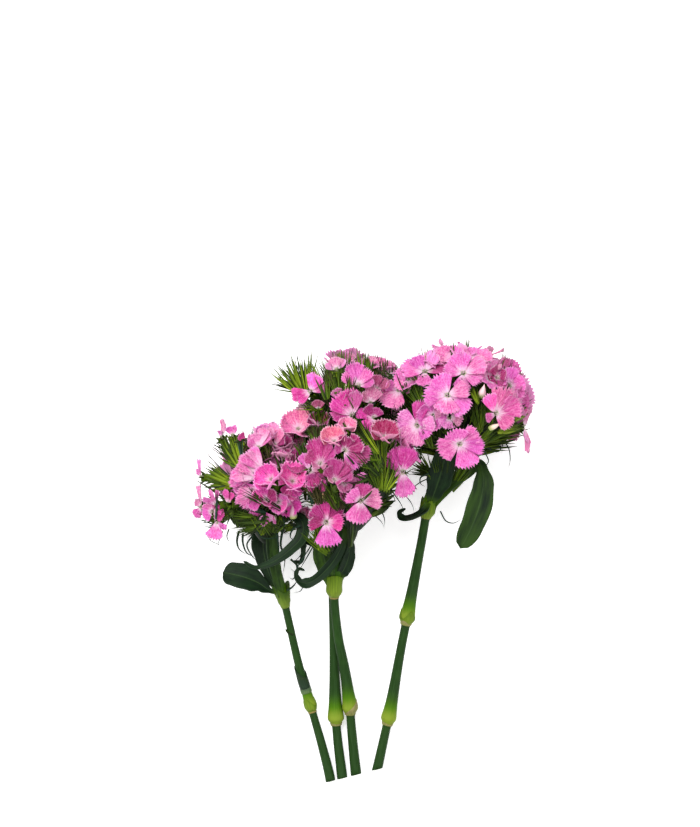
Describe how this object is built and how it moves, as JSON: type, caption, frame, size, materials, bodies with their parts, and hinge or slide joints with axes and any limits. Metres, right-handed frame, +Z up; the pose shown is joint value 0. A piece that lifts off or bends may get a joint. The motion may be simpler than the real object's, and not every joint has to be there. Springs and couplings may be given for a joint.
{
  "type": "sweet william flower bunch",
  "caption": "Cut sweet william lying down: jointed green stalks with narrow leaves, domed heads of green bracts and toothed pink petals.",
  "frame": {"origin": "middle of the plant's outline, on the surface it lies on", "axes": "+Y along the stalks towards the flower heads, +Z up from the surface, +X to the right seen from above with the heads away"},
  "size_m": [0.172, 0.226, 0.084],
  "materials": {
    "stalk": "smooth waxy green, paler at the joints",
    "leaf": "dark blue-green, satin, with a paler midrib",
    "bract": "matte yellow-green to dark green",
    "petal": "matte pink with a paler centre and veins"
  },
  "bodies": {
    "root": {"stalk_left": "stalk", "stalk_rear": "stalk", "stalk_middle": "stalk", "stalk_right": "stalk", "leaf_left_broad": "leaf", "leaf_left_upright": "leaf", "leaf_left_folded": "leaf", "leaf_left_arching": "leaf", "leaf_rear_upright": "leaf", "leaf_rear_drooping": "leaf", "leaf_middle_front": "leaf", "leaf_middle_side": "leaf", "leaf_middle_hooked": "leaf", "leaf_middle_outer": "leaf", "leaf_right_upright": "leaf", "leaf_right_hanging": "leaf", "leaf_right_curled": "leaf", "blooms_left_1": "petal", "blooms_left_2": "petal", "blooms_left_3": "petal", "blooms_left_4": "petal", "blooms_left_5": "petal", "blooms_left_6": "petal", "blooms_left_7": "petal", "blooms_left_8": "petal", "blooms_rear_1": "petal", "blooms_rear_2": "petal", "blooms_rear_3": "petal", "blooms_rear_4": "petal", "blooms_rear_5": "petal", "blooms_rear_6": "petal", "blooms_rear_7": "petal", "blooms_rear_8": "petal", "blooms_rear_9": "petal", "blooms_middle_1": "petal", "blooms_middle_2": "petal", "blooms_middle_3": "petal", "blooms_middle_4": "petal", "blooms_middle_5": "petal", "blooms_middle_6": "petal", "blooms_middle_7": "petal", "blooms_right_1": "petal", "blooms_right_2": "petal", "blooms_right_3": "petal", "blooms_right_4": "petal", "blooms_right_5": "petal", "blooms_right_6": "petal", "blooms_right_7": "petal", "blooms_right_8": "petal", "blooms_right_9": "petal", "blooms_right_10": "petal", "calyces_left": "bract", "calyces_rear": "bract", "calyces_middle": "bract", "calyces_right": "bract"}
  },
  "joints": []
}
